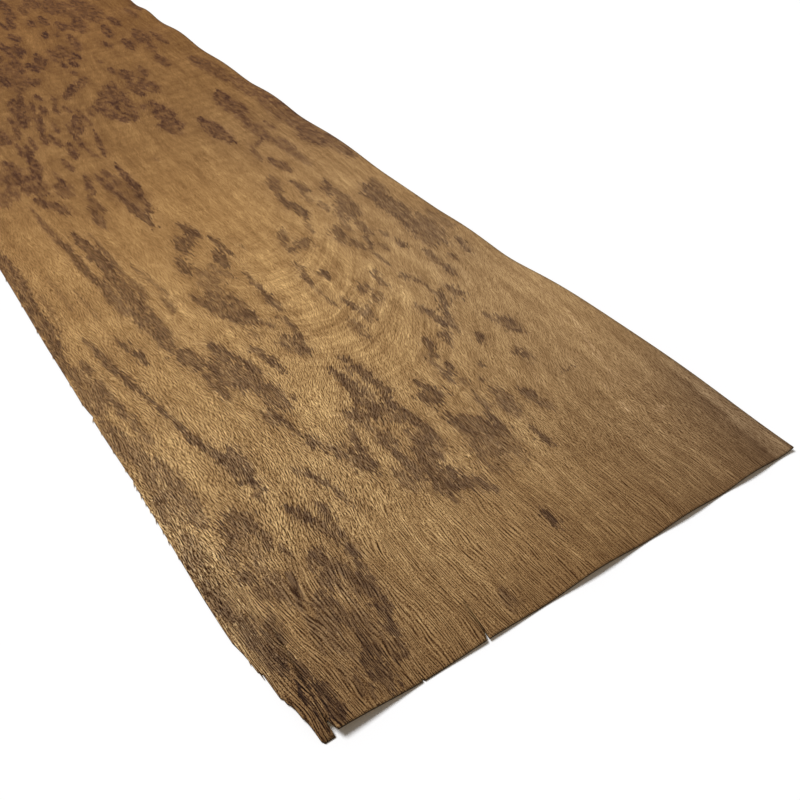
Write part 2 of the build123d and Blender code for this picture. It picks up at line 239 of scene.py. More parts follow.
    (202, 392, 203, 440, 5.5, 50), (186, 352, 187, 366, 1.6, 45),
    # along 400 to 460
    (118, 414, 110, 446, 3.4, 60), (124, 414, 132, 448, 3.2, 52), (121, 416, 121, 426, 4, 62),
    (121, 432, 122, 448, 1.8, 72), (124, 444, 129, 471, 6.6, 70), (112, 434, 116, 454, 3, 52),
    (90, 414, 96, 440, 3.2, 70), (99, 420, 100, 450, 1.4, 42), (61, 406, 63, 426, 1.4, 52),
    (66, 440, 69, 463, 3.6, 66), (71, 426, 78, 453, 1.8, 58), (82, 450, 83, 466, 2.2, 64),
    (95, 445, 95, 457, 1.6, 52), (142, 446, 144, 472, 3.6, 62), (151, 446, 152, 472, 4.4, 62),
    (68, 408, 71, 430, 1.6, 58), (79, 420, 81, 438, 1.5, 60), (85, 414, 88, 432, 1.3, 50),
    (58, 426, 61, 448, 1.8, 55), (74, 438, 76, 456, 1.3, 50), (88, 446, 90, 462, 1.5, 52),
    (104, 430, 106, 446, 1.2, 36), (52, 402, 54, 420, 1.6, 50), (197, 436, 199, 482, 4.5, 45),
    (60, 440, 62, 462, 1.6, 50), (77, 458, 80, 476, 1.8, 52), (92, 462, 95, 478, 1.4, 46),
    # along 460 to 560
    (69, 458, 72, 486, 4.2, 66), (86, 473, 86, 486, 1.8, 62), (76, 478, 78, 492, 1.6, 58),
    (91, 500, 91, 512, 2.6, 78), (84, 503, 88, 548, 5.4, 42), (90, 525, 93, 552, 3.4, 62),
    (80, 494, 84, 508, 3, 40), (98, 554, 100, 567, 3.4, 68), (104, 560, 103, 582, 2.3, 68),
    (105, 472, 112, 488, 3.2, 74), (100, 464, 104, 478, 1.6, 50), (115, 482, 122, 495, 3.6, 54),
    (118, 516, 119, 528, 2.1, 70), (124, 516, 126, 529, 2.5, 74), (132, 526, 132, 541, 1.6, 82),
    (118, 532, 120, 558, 3.2, 52), (126, 530, 128, 560, 4.6, 52), (119, 499, 120, 511, 1.7, 52),
    (137, 544, 142, 580, 3.1, 52), (146, 476, 148, 492, 4.2, 64), (141, 490, 143, 502, 2.3, 58),
    (133, 468, 134, 480, 1.6, 50), (157, 474, 160, 492, 2.6, 48), (157, 536, 157, 552, 2.5, 55),
    (169, 524, 171, 550, 3.1, 70), (165, 556, 170, 584, 2.9, 64), (181, 528, 185, 562, 4.5, 52),
    (180, 534, 183, 550, 2.4, 58), (192, 518, 192, 547, 2.5, 52), (179, 513, 182, 526, 3, 45),
    (176, 482, 178, 506, 2.9, 54), (194, 458, 196, 490, 3.1, 52), (141, 510, 142, 520, 1.4, 36),
    # along 560 to 690
    (179, 574, 180, 600, 2.9, 62), (126, 580, 130, 595, 2.3, 82), (134, 578, 137, 590, 1.6, 45),
    (136, 608, 138, 632, 2.5, 70), (127, 610, 128, 628, 2.5, 58), (113, 614, 116, 638, 2.7, 62),
    (118, 634, 122, 657, 3.3, 54), (142, 590, 145, 612, 3.1, 58), (152, 578, 156, 606, 4.1, 54),
    (149, 586, 147, 602, 2.6, 54), (158, 588, 160, 606, 2.1, 58), (170, 600, 172, 650, 8.2, 60),
    (160, 610, 163, 652, 6.2, 48), (150, 630, 155, 664, 6.2, 58), (122, 654, 124, 686, 3.1, 64),
    (142, 652, 143, 676, 6.2, 54), (205, 594, 207, 624, 2.2, 45), (130, 640, 133, 660, 3, 45),
    (188, 640, 188, 680, 4, 45), (174, 656, 174, 684, 3.6, 50), (196, 580, 197, 610, 2.4, 36),
    # Pale streaks
    (70, 127, 78, 114, 0.8, -14), (77, 116, 86, 101, 0.8, -16), (56, 176, 57, 228, 2.6, -8),
    (62, 190, 62, 232, 2, -8), (26, 196, 25, 232, 2.4, -8), (52, 12, 51, 34, 0.8, -12),
    (67, 18, 67, 42, 0.8, -12), (20, 10, 17, 34, 1.4, -12), (15, 40, 11, 60, 0.8, -16),
    (155, 73, 162, 97, 0.9, -20), (163, 98, 171, 118, 0.9, -16), (174, 50, 175, 57, 1.1, -40),
    (182, 43, 187, 44, 1, -32), (191, 104, 192, 112, 1.2, -26), (150, 84, 158, 112, 0.7, -12),
    (183, 62, 186, 78, 0.9, -20), (186, 78, 191, 92, 1, -28), (192, 92, 199, 116, 1, -22),
    (198, 116, 202, 136, 1, -14), (177, 63, 178, 70, 1, -24), (168, 24, 169, 29, 1, -24),
    (176, 150, 184, 172, 0.8, -12), (123, 36, 130, 52, 2.6, -8),
]
# Out of the photograph's view the figure goes on with as many flames, of the same sizes
UNSEEN_SEED = 11
# Across from and to, along from and to, and how many flames
UNSEEN_REGIONS = [(9, 60, 330, 500, 44), (8, 110, 500, 690, 80), (10, 198, 690, 900, 150)]
UNSEEN_LEAN, UNSEEN_LENGTH, UNSEEN_HALF_WIDTH, UNSEEN_DEPTH = (-2, 2), (8, 30), (1.2, 4.6), (40, 80)

# A flame is widest at this share of its length and narrows before and after it at these rates.
# Short of its far end, distances along the grain count only this much, so its front is drawn out.
FLAME_WIDEST, FLAME_BEFORE, FLAME_AFTER, FLAME_NOSE = 0.35, 4, 1.65, 0.7
# A point that lies in no flame, how far the soft cloud reaches round a flame, in millimetres, and
# its share of the flame's colour
OUTSIDE, CLOUD, CLOUD_SHARE = -3, 4, 0.5
# Steepest change of the figure along the grain, for each millimetre
STEEPEST = 0.3

# Strength of the fine fibres: what they have everywhere, and what broad zones add
FIBRE_BASE = 0.2
FIBRE_ZONES = [
    (30, 50, 110, 160, 1), (170, 15, 50, 50, 0.35), (15, 260, 30, 60, 0.2), (9, 26, 6, 28, 0.5),
    (3, 70, 8, 40, 0.5), (112, 150, 20, 40, -0.12),
]

# Brightness of the ground between the flames, at distances from the front cut: the wood's own
# tone with painted light falloff, darker towards the front cut and the far end
TONE_AND_LIGHT_ALONG = [
    (0, 0.39), (40, 0.55), (70, 0.71), (130, 0.86), (200, 0.87), (280, 0.8), (330, 0.67), (400, 0.57),
    (500, 0.5), (690, 0.47), (915, 0.5),
]
# Broad changes of tone: across, along, half width, half length, change of brightness
TONES = [
    (190, 85, 42, 60, -0.17), (3, 62, 7, 18, -0.25), (10, 28, 6, 24, -0.28), (5, 36, 4, 14, 0.24),
    (5, 90, 5, 20, 0.06), (42, 34, 14, 34, -0.12), (55, 66, 24, 13, -0.1), (105, 66, 24, 13, 0.12),
    (68, 95, 12, 14, 0.09), (92, 8, 12, 10, -0.1), (142, 130, 12, 20, -0.12), (188, 95, 10, 16, 0.08),
    (203, 225, 8, 25, -0.14), (195, 520, 20, 40, -0.11), (165, 10, 50, 26, -0.06),
    (150, 0, 90, 6, -0.14), (5, 8, 6, 26, -0.36), (12, 28, 5, 26, -0.2), (196, 180, 30, 80, -0.12),
    (28, 195, 30, 40, -0.06), (115, 190, 26, 60, 0.08),
]

# Crease of the front right corner: its line as (along, across), the painted shade on its inner
# side and how far that reaches, the painted highlight on the strip outside it and how soon it is
# full, and where both die away
CREASE_LINE = [(0, 198.8), (34, 202), (75, 206)]
CREASE_PAINTED_SHADE, CREASE_REACH, CREASE_PAINTED_HIGHLIGHT, CREASE_STRIP = -0.56, 6, 0.10, 1.8
CREASE_ALONG = (30, 90)

# The wood turns warmer between these distances, and again by this share further back
WARM_ALONG, WARMER_ALONG, WARMER = (0, 340), (400, 640), 0.55
# The right side is greyer: between these places across, until these distances along the sheet,
# and from the front cut to the other two distances only with this share
GREY_ACROSS, GREY_ALONG, GREY_FRONT, GREY_LEAST = (105, 195), (330, 440), (110, 180), 0.7
# So is a zone of the torn edge: across, along, half width, half length, and how grey
GREY_EDGE, GREY_EDGE_SHARE = (4, 65, 7, 45), 0.55
# The fibres are long and straight at the front cut, and short and interlocked further back;
# right of one place across they turn short nearer to the cut, by this share of the way across
SHORT_ALONG, SHORT_ACROSS, SHORT_SLOPE = (20, 95), 110, 0.5

# The flames grow softer and blotchier between these distances
FAR_ALONG = (240, 400)

# Lean of the fibres to the right, in degrees: across, along, half width, half length, lean
LEANS = [
    (16, 30, 12, 50, -7), (40, 38, 9, 26, 4), (60, 22, 16, 26, -3), (62, 64, 16, 18, 12),
    (45, 78, 12, 16, 14), (30, 66, 8, 14, 10), (30, 120, 16, 30, 5), (24, 170, 14, 50, -7),
    (52, 175, 14, 45, -8), (92, 120, 20, 40, 24), (120, 150, 20, 30, 22), (175, 125, 40, 70, 24),
    (190, 220, 30, 60, 12), (60, 300, 30, 70, -6), (110, 430, 70, 50, 14), (130, 540, 80, 80, 14),
]
# Steps in which that lean is added up along the sheet
LEAN_STEPS = 16
# Patches of interlocked fibres: their size, and how far each one turns either way, in radians
PATCH, PATCH_TURN = (5, 8), 0.16
# A small swirl of the fibres beside the notch: place, radius, and turn in degrees
SWIRL = (56, 10, 8, 10)
# Growth arcs: U-shaped round this place across, in one zone, with even faint lines at this spacing
ARC_ACROSS, ARC_BEND = 110, 0.021
RIPPLED = (123, 172, 42, 90)
ARC_SPACING, EVEN_ARCS = 2.6, 0.08

# Noises of the wood: the size of their cells across and along the grain, in millimetres, how many
# finer layers they have, an offset that keeps each apart from the rest, and their strength, which
# is a logarithm of brightness, or millimetres where they move a place
NOISES = {
    "turning": (5, 9, 1, 191, 1), "wander": (8, 26, 1, 31, 3.4),
    "patch_across": (3, 4, 1, 5, 2.5), "patch_along": (3, 4, 1, 9, 8),
    "hair": (0.32, 6.5, 0, 7, 3.1), "dash": (0.36, 2.4, 0, 23, 3.3), "grit": (0.3, 0.6, 0, 41, 2.6),
    "pores": (0.62, 3, 0, 53, 1), "flecks": (0.44, 2.4, 0, 131, 1),
    "thread": (1.3, 9, 1, 17, 0.48), "pale_lines": (1.1, 20, 1, 61, 1), "band": (3.4, 26, 2, 71, 0.6),
    "streak": (8, 90, 1, 171, 0.5), "mottle": (5, 4, 2, 223, 0.3), "ring": (30, 6, 1, 241, 0.32),
    "teeth": (0.9, 9, 1, 91, 1), "ragged": (1, 3.4, 1, 97, 1), "patchy": (4, 8, 2, 113, 1),
    "hollow": (3, 5, 1, 229, 1), "streaky": (0.6, 7, 1, 151, 1), "uneven": (2.4, 7, 1, 157, 1),
    "cloudy": (4, 12, 2, 163, 1), "waved": (9, 5, 1, 211, 4), "edge": (0.6, 0.9, 2, 0, 1),
    "fine_arcs": (30, 2.6, 1, 251, 0.65), "broad_arcs": (40, 7, 1, 257, 1),
}
# Values between which some of them turn from one state to the other
STEPS = {
    "turning": (0.25, 0.75), "pores": (0.06, 0.2), "flecks": (0.2, 0.3), "pale_lines": (0.12, 0.26),
    "streaky": (-0.16, 0.06), "uneven": (-0.18, 0.1), "cloudy": (-0.2, 0.2),
}
# How far beside a fine line the copy is that is taken from it, in widths of the line
LINE_COPY = 1.2
# The pale side of the fine fibres levels off softly at a limit, and all are raised a little.
# Pores, flecks and pale lines add these logarithms of brightness.
FIBRE_LIMIT, FIBRE_SOFTNESS, FIBRE_RAISE = 0.36, 0.6, 0.13
PORE, FLECK, PALE_LINE = -0.4, 0.35, 0.14

# The flames, near the front and far back: teeth at their ends, raggedness and softness of their
# outlines, blotches in their depth, colour of their middles, of their palest streaks, and of their
# palest and darkest blotches
TEETH, RAGGED, SOFT, HOLLOW = (26, 12), (1.5, 0.9), (1.4, 1.7), (0, 8)
MIDDLE, STREAKED, UNEVEN_LEAST, UNEVEN_MOST = (0.75, 0.55), (0.4, 0.75), (0.68, 0.42), (1, 1.26)
# A stronger flame is crisper, its ragged sides reach this far in, and its middle begins between
# these depths in millimetres
CRISP, RAGGED_DEPTH, MIDDLE_DEPTHS = -1.5, 2, (0.8, 3)
# Strengths of a flame and of its cloud, as logarithms of brightness, and the cloud's own blotches
FLAME_STRENGTH, CLOUD_STRENGTH, CLOUDY = -1.6, -0.25, (0.4, 1.3)

# Colours: the ground at full brightness, and the cut edge, darkened with painted shade
WOOD_COLOUR = (0.456, 0.288, 0.127)
EDGE_SHADE_DARK, EDGE_SHADE_PALE = (0.012, 0.007, 0.004, 1), (0.05, 0.03, 0.016, 1)

# Mesh: the distance between rows as far as each place along the sheet, and the columns of each
# strip between the torn edge, the three splits and the right edge
ROW_STEPS = [(200, 1.45), (450, 2.2), (SHEET_LENGTH, 3.9)]
STRIP_COLUMNS = [7, 16, 15, 78]

# Camera of the photograph, in the sheet's own millimetres
CAMERA_ACROSS, CAMERA_ALONG, CAMERA_HEIGHT = -52, -118.75, 236.91
CAMERA_HEADING, CAMERA_PITCH = 35, 40.7
FOCAL_PIXELS, PHOTO_PIXELS, SENSOR = 923, 800, 36

# Light: the share that comes evenly from all round, and a broad sun for the rest
AMBIENT = 0.14
SUN_HEIGHT, SUN_TURN, SUN_ANGLE = 59, 217, 26

# Floor: half its side in metres, how far it lies below the sheet, and its colour, with a faint warm
# glow that only the camera sees
FLOOR_HALF_SIDE, FLOOR_DROP = 8, 0.05 * MM
FLOOR_COLOUR, GLOW_COLOUR, GLOW = (0.93, 0.95, 0.98, 1), (1, 0.7, 0.34, 1), 0.08


def bezier(weights, share):
    """Value of a Bezier polynomial with these control values, at shares from 0 to 1."""
    last = len(weights) - 1
    return sum(
        comb(last, k) * share**k * (1 - share) ** (last - k) * w for k, w in enumerate(weights)
    )


def net_height(rectangle, net, across, along):
    """Height of one cockle over its rectangle, zero outside it."""
    x_from, x_to, y_from, y_to = rectangle
    u = (across - x_from) / (x_to - x_from)
    v = (along - y_from) / (y_to - y_from)
    inside = (u >= 0) & (u <= 1 + 1e-9) & (v >= -1e-9) & (v <= 1)
    u, v = np.clip(u, 0, 1), np.clip(v, 0, 1)
    rows = [bezier(row, u) for row in net]
    return np.where(inside, bezier(rows, v), 0.0)


def wave_height(wave, across, along):
    *rectangle, shape_across, shape_along, lift = wave
    net = lift * np.outer(shape_along, shape_across)
    return net_height(rectangle, net, across, along)


def underside(across, along, on_splinter):
    """Height of the sheet's underside above the floor."""
    height = net_height(CORNER, CORNER_NET, across, along)
    edge = [
        (SHEET_WIDTH - EDGE_DEPTH, SHEET_WIDTH, start, end, OPEN_AT_END, ARCH, lift)
        for start, end, lift in EDGE_COCKLES
    ]
    for wave in [CURLED_CORNER, *FRONT_COCKLES, *edge]:
        height = np.maximum(height, wave_height(wave, across, along))
    return np.where(on_splinter, wave_height(SPLINTER, across, along), height)


def smooth_step(value, low, high):
    share = np.clip((value - low) / (high - low), 0, 1)
    return share * share * (3 - 2 * share)


def read_line(line, along):
    """What a line of points, each given as along and its value, says at these places along."""
    return np.interp(along, *zip(*line))


def zone(place, across, along):
    """A soft oval zone: 1 in its middle, dying away past its half width and half length."""
    x, y, half_width, half_length = place
    near = np.hypot((across - x) / half_width, (along - y) / half_length)
    return np.exp(-near * near)


def zones_sum(zones, across, along):
    """Sum of several zones, each with a value of its own."""
    return sum(value * zone(place, across, along) for *place, value in zones)


def flames(places, across, along):
    """Where each point lies in its nearest flame: 1 on the spine, 0 on the outline and less
    outside; the same in millimetres; that flame's depth of colour; and the soft cloud of colour
    round all the flames near it."""
    figure = np.full_like(across, OUTSIDE)
    depth = np.full_like(across, 3 * OUTSIDE)
    strength = np.zeros_like(across)
    clear = np.ones_like(across)
    for x0, y0, x1, y1, half_width, percent in places:
        colour = percent / 100
        reach = 3 * half_width + 3 * CLOUD
        near = np.flatnonzero(
            (along > min(y0, y1) - reach)
            & (along < max(y0, y1) + reach)
            & (across > min(x0, x1) - reach)
            & (across < max(x0, x1) + reach)
        )
        x, y = across[near] - x0, along[near] - y0
        dx, dy = x1 - x0, y1 - y0
        share = np.clip((x * dx + y * dy) / (dx * dx + dy * dy), 0, 1)
        narrowing = np.where(share > FLAME_WIDEST, FLAME_AFTER, FLAME_BEFORE)
        width = half_width * (1 - narrowing * (share - FLAME_WIDEST) ** 2)
        drawn_out = np.where(share < 1, FLAME_NOSE, 1.0)
        inside = width - np.hypot(x - share * dx, (y - share * dy) * drawn_out)
        kept = inside / width > figure[near]
        nearer = near[kept]
        figure[nearer] = (inside / width)[kept]
        depth[nearer] = inside[kept]
        strength[nearer] = colour
        away = np.minimum(inside, 0) / CLOUD
        clear[near] *= 1 - CLOUD_SHARE * colour * np.exp(-away * away)
    return figure, depth, strength, 1 - clear


def unseen_flames():
    """Flames of the figure where the photograph doesn't reach, drawn from a fixed seed."""
    rng = np.random.default_rng(UNSEEN_SEED)
    places = []
    for x_from, x_to, y_from, y_to, count in UNSEEN_REGIONS:
        for _ in range(count):
            x, y = rng.uniform(x_from, x_to), rng.uniform(y_from, y_to)
            lean, length = rng.uniform(*UNSEEN_LEAN), rng.uniform(*UNSEEN_LENGTH)
            half_width, percent = rng.uniform(*UNSEEN_HALF_WIDTH), rng.uniform(*UNSEEN_DEPTH)
            places.append((x, y, x + lean, y + length, half_width, percent))
    return places


def from_crease(across, along):
    """How far each point lies outside the crease, and how strongly the crease shows there."""
    away = across - read_line(CREASE_LINE, along)
    return away, 1 - smooth_step(along, *CREASE_ALONG)


def crease_painted_shade_and_highlight(across, along):
    """Painted shade and highlight beside the crease: painted shade inside it, and a painted highlight on
    the strip outside.
    """
    away, shows = from_crease(across, along)
    inner = CREASE_PAINTED_SHADE * np.exp(np.minimum(away, 0) / CREASE_REACH)
    return shows * np.where(away < 0, inner, CREASE_PAINTED_HIGHLIGHT * smooth_step(away, 0.0, CREASE_STRIP))


def greyness(across, along):
    """How grey the wood is: more so on the right side and along part of the torn edge, and at the
    crease, full on the strip outside it and dying away inside, as part of its painted highlight and shade."""
    away, shows = from_crease(across, along)
    side = smooth_step(across, *GREY_ACROSS) * (1 - smooth_step(along, *GREY_ALONG))
    side *= GREY_LEAST + (1 - GREY_LEAST) * smooth_step(along, *GREY_FRONT)
    edge = GREY_EDGE_SHARE * zone(GREY_EDGE, across, along)
    # The grey at the crease, full on the strip outside and dying away inside, is part of its painted
    # highlight and shade
    return side + edge + shows * np.exp(np.minimum(away, 0) / (2 * CREASE_REACH))


def warmth(along):
    """How warm the wood is: 0 at the front cut."""
    return smooth_step(along, *WARM_ALONG) + WARMER * smooth_step(along, *WARMER_ALONG)


def fibre_lean(across, along):
    """Lean of the fibres to the right of the sheet's own length, in radians."""
    x, y, radius, turn = SWIRL
    return np.radians(zones_sum([*LEANS, (x, y, radius, radius, turn)], across, along))


def fibre_drift(across, along):
    """How far the lean has carried a fibre across the sheet, added up from the front cut."""
    drift = np.zeros_like(across)
    for step in range(LEAN_STEPS):
        drift += fibre_lean(across, along * (step + 0.5) / LEAN_STEPS)
    return drift * along / LEAN_STEPS


def row_places():
    """Places along the sheet where the mesh has a row, with one at each corner of the outline."""
    fixed = {0.0, SHEET_LENGTH / 2, SHEET_LENGTH}
    fixed.update(along for along, _ in TORN_EDGE)
    for split in (LONG_SPLIT, NICK, NOTCH):
        fixed.update(along for along, _ in split["line"])
    fixed = sorted(fixed)
    rows = []
    for start, end in zip(fixed, fixed[1:]):
        step = next(step for limit, step in ROW_STEPS if start < limit)
        count = max(1, round((end - start) / step))
        rows.extend(start + (end - start) * k / count for k in range(count))
    return np.array(rows + [fixed[-1]])


def seam(split, rows):
    """Middle line and half opening of a split at each row; past its tip it runs on closed."""
    along = [place for place, _ in split["line"]]
    half = np.interp(rows, along, split["open"]) / 2
    return read_line(split["line"], rows), half, np.searchsorted(rows, along[-1] - 1e-6)


def sheet_plan():
    """Vertices of the sheet in plan, quads between them, and the boundary as directed edges."""
    rows = row_places()
    torn = read_line(TORN_EDGE, rows)
    straight = np.full_like(rows, SHEET_WIDTH)
    seams = [seam(split, rows) for split in (LONG_SPLIT, NICK, NOTCH)]
    lines = [torn, *(line for line, _, _ in seams), straight]
    halves = [np.zeros_like(rows), *(half for _, half, _ in seams), np.zeros_like(rows)]
    tips = [0, *(tip for _, _, tip in seams), 0]

    points, splinter, quads = [], [], []
    grids = []
    for strip, columns in enumerate(STRIP_COLUMNS):
        start = lines[strip] + halves[strip]
        end = lines[strip + 1] - halves[strip + 1]
        grid = np.empty((len(rows), columns + 1), int)
        for row, place in enumerate(rows):
            for column in range(columns + 1):
                if strip and column == 0 and row >= tips[strip]:
                    grid[row, 0] = grids[-1][row, -1]
                    continue
                share = column / columns
                grid[row, column] = len(points)
                points.append((start[row] + (end[row] - start[row]) * share, place))
                splinter.append(strip == 0)
        grids.append(grid)
        a, b = grid[:-1, :-1].ravel(), grid[:-1, 1:].ravel()
        c, d = grid[1:, 1:].ravel(), grid[1:, :-1].ravel()
        quads.append(np.stack([a, b, c, d], axis=1))

    edges = []
    for grid in grids:
        edges.extend(zip(grid[0, :-1], grid[0, 1:]))
    edges.extend(zip(grids[-1][:-1, -1], grids[-1][1:, -1]))
    for grid in reversed(grids):
        edges.extend(zip(grid[-1, :0:-1], grid[-1, -2::-1]))
    edges.extend(zip(grids[0][:0:-1, 0], grids[0][-2::-1, 0]))
    for strip in range(1, len(grids)):
        tip = tips[strip]
        left_side, right_side = grids[strip - 1][: tip + 1, -1], grids[strip][: tip + 1, 0]
        edges.extend(zip(left_side[:-1], left_side[1:]))
        edges.extend(zip(right_side[:0:-1], right_side[-2::-1]))
    return np.array(points), np.array(splinter), np.concatenate(quads), edges


def loose_fibres():
    """Torn fibres along the left edge: thin closed slivers, each one rooted in the sheet. Gives
    their points as across, along and height, their faces, and the length of each face."""
    points, faces, lengths = [], [], []
    for along, length, reach in LOOSE_FIBRES:
        root = read_line(TORN_EDGE, along) + 0.5 * FIBRE_ROOT
        tip = max(read_line(TORN_EDGE, along - length) - reach, FIBRE_TIP)
        ends = [(root, along, FIBRE_ROOT), (tip, along - length, FIBRE_TIP)]
        first = len(points)
        for across, place, size in ends:
            low, high = (THICKNESS - size) / 2, (THICKNESS + size) / 2
            points.extend([(across, place, low), (across + size, place, low)])
            points.extend([(across + size, place, high), (across, place, high)])
        a, b, c, d, e, f, g, h = range(first, first + 8)
        faces.extend([(a, b, c, d), (h, g, f, e), (a, e, f, b)])
        faces.extend([(b, f, g, c), (c, g, h, d), (d, h, e, a)])
        lengths.extend([FIBRE_ROOT] * 2 + [length] * 4)
    return np.array(points), np.array(faces), lengths


def bake_map(mesh, points, quads, edge_lengths):
    """A flat map for baking: the upper face at full size in two halves, the underside at half
    size beside them, and the edge and the loose fibres in rows above."""
    width, half_length, gap = SHEET_WIDTH, SHEET_LENGTH / 2, 4.0
    side = 2 * width + width / 2 + 4 * gap
    across, along = points[:, 0], points[:, 1]
    corners = quads.ravel()
    far_half = np.repeat(along[quads].mean(axis=1) > half_length, 4)
    upper = np.stack(
        [
            gap + across[corners] + np.where(far_half, width + gap, 0),
            gap + along[corners] - np.where(far_half, half_length, 0),
        ],
        axis=1,
    )
    flipped = quads[:, ::-1].ravel()
    lower = np.stack(
        [2 * width + 3 * gap + across[flipped] / 2, gap + along[flipped] / 2], axis=1
    )
    rim, run, row = [], gap, 0
    band = half_length + 3 * gap
    for length in edge_lengths:
        if run + length > side - gap:
            run, row = gap, row + 1
        bottom = band + row * 2 * gap
        end, top = run + length, bottom + gap
        rim.extend([(run, bottom), (end, bottom), (end, top), (run, top)])
        run = end
    layer = mesh.uv_layers.new(name="OFBake")
    layer.data.foreach_set("uv", (np.concatenate([upper, lower, np.array(rim)]) / side).ravel())


def add_object(name, data):
    thing = bpy.data.objects.new(name, data)
    bpy.context.scene.collection.objects.link(thing)
    return thing


def build_sheet():
    """The sheet as one closed mesh, with its grain and figure stored at each vertex."""
    points, splinter, quads, edges = sheet_plan()
    across, along = points[:, 0], points[:, 1]
    low = np.minimum(underside(across, along, splinter), cad_high.z / MM - THICKNESS)
    x = cad_low.x / MM + across
    y = cad_low.y / MM + along
    upper = np.stack([x, y, low + THICKNESS], axis=1)
    lower = np.stack([x, y, low], axis=1)
    count = len(points)
    rim = np.array([(a + count, b + count, b, a) for a, b in edges])
    fibres, fibre_faces, fibre_lengths = loose_fibres()
    fibre_corners = fibres + (cad_low.x / MM, cad_low.y / MM, 0)
    faces = np.concatenate([quads, quads[:, ::-1] + count, rim, fibre_faces + 2 * count])

    mesh = bpy.data.meshes.new("veneer_leaf")
    corners = np.concatenate([upper, lower, fibre_corners]) * MM
    mesh.from_pydata(corners.tolist(), [], faces.tolist())
    order = np.arange(len(faces))
    on_rim = (order >= 2 * len(quads)) & (order < 2 * len(quads) + len(rim))
    mesh.polygons.foreach_set("use_smooth", order < 2 * len(quads))
    mesh.polygons.foreach_set("material_index", on_rim.astype(np.int32))

    across, along = np.append(across, fibres[:, 0]), np.append(along, fibres[:, 1])
    vertices = np.concatenate([np.arange(count), np.arange(len(across))])
    places = FIGURE + unseen_flames()
    figure, depth, strength, cloud = flames(places, across, along)
    further = flames(places, across, along + 1.0)[0]
    # The wood's own tone, with painted light falloff along the sheet and the crease's painted shade and
    # highlight
    tone_and_painted_light = np.log(read_line(TONE_AND_LIGHT_ALONG, along)) + zones_sum(TONES, across, along)
    # Painted shade inside the crease and a painted highlight on the strip outside it
    tone_and_painted_light += crease_painted_shade_and_highlight(across, along)
    short = along + SHORT_SLOPE * np.maximum(across - SHORT_ACROSS, 0)
    zones = {
        "figure": figure,
        "depth": depth,
        "strength": strength,
        "cloud": cloud,
        "rise": np.clip(further - figure, -STEEPEST, STEEPEST),
        "tone_and_painted_light": tone_and_painted_light,
        "lean": fibre_lean(across, along),
        "drift": fibre_drift(across, along),
        "fibre": FIBRE_BASE + zones_sum(FIBRE_ZONES, across, along),
        "warmth": warmth(along),
        "short": smooth_step(short, *SHORT_ALONG),
        "grey": greyness(across, along),
        "far": smooth_step(along, *FAR_ALONG),
        "rippled": zone(RIPPLED, across, along),
    }
    arcs = along - ARC_BEND * (across - ARC_ACROSS) ** 2
    grain = np.stack([across, along, arcs], axis=1)
    for name, values in zones.items():
        layer = mesh.attributes.new(name, "FLOAT", "POINT")
        layer.data.foreach_set("value", values[vertices].astype(np.float32))
    layer = mesh.attributes.new("grain", "FLOAT_VECTOR", "POINT")
    layer.data.foreach_set("vector", grain[vertices].astype(np.float32).ravel())
    edge_lengths = [float(np.hypot(*(points[b] - points[a]))) for a, b in edges]
    bake_map(mesh, points, quads, edge_lengths + fibre_lengths)
    mesh.validate()
    return add_object("veneer_leaf", mesh)


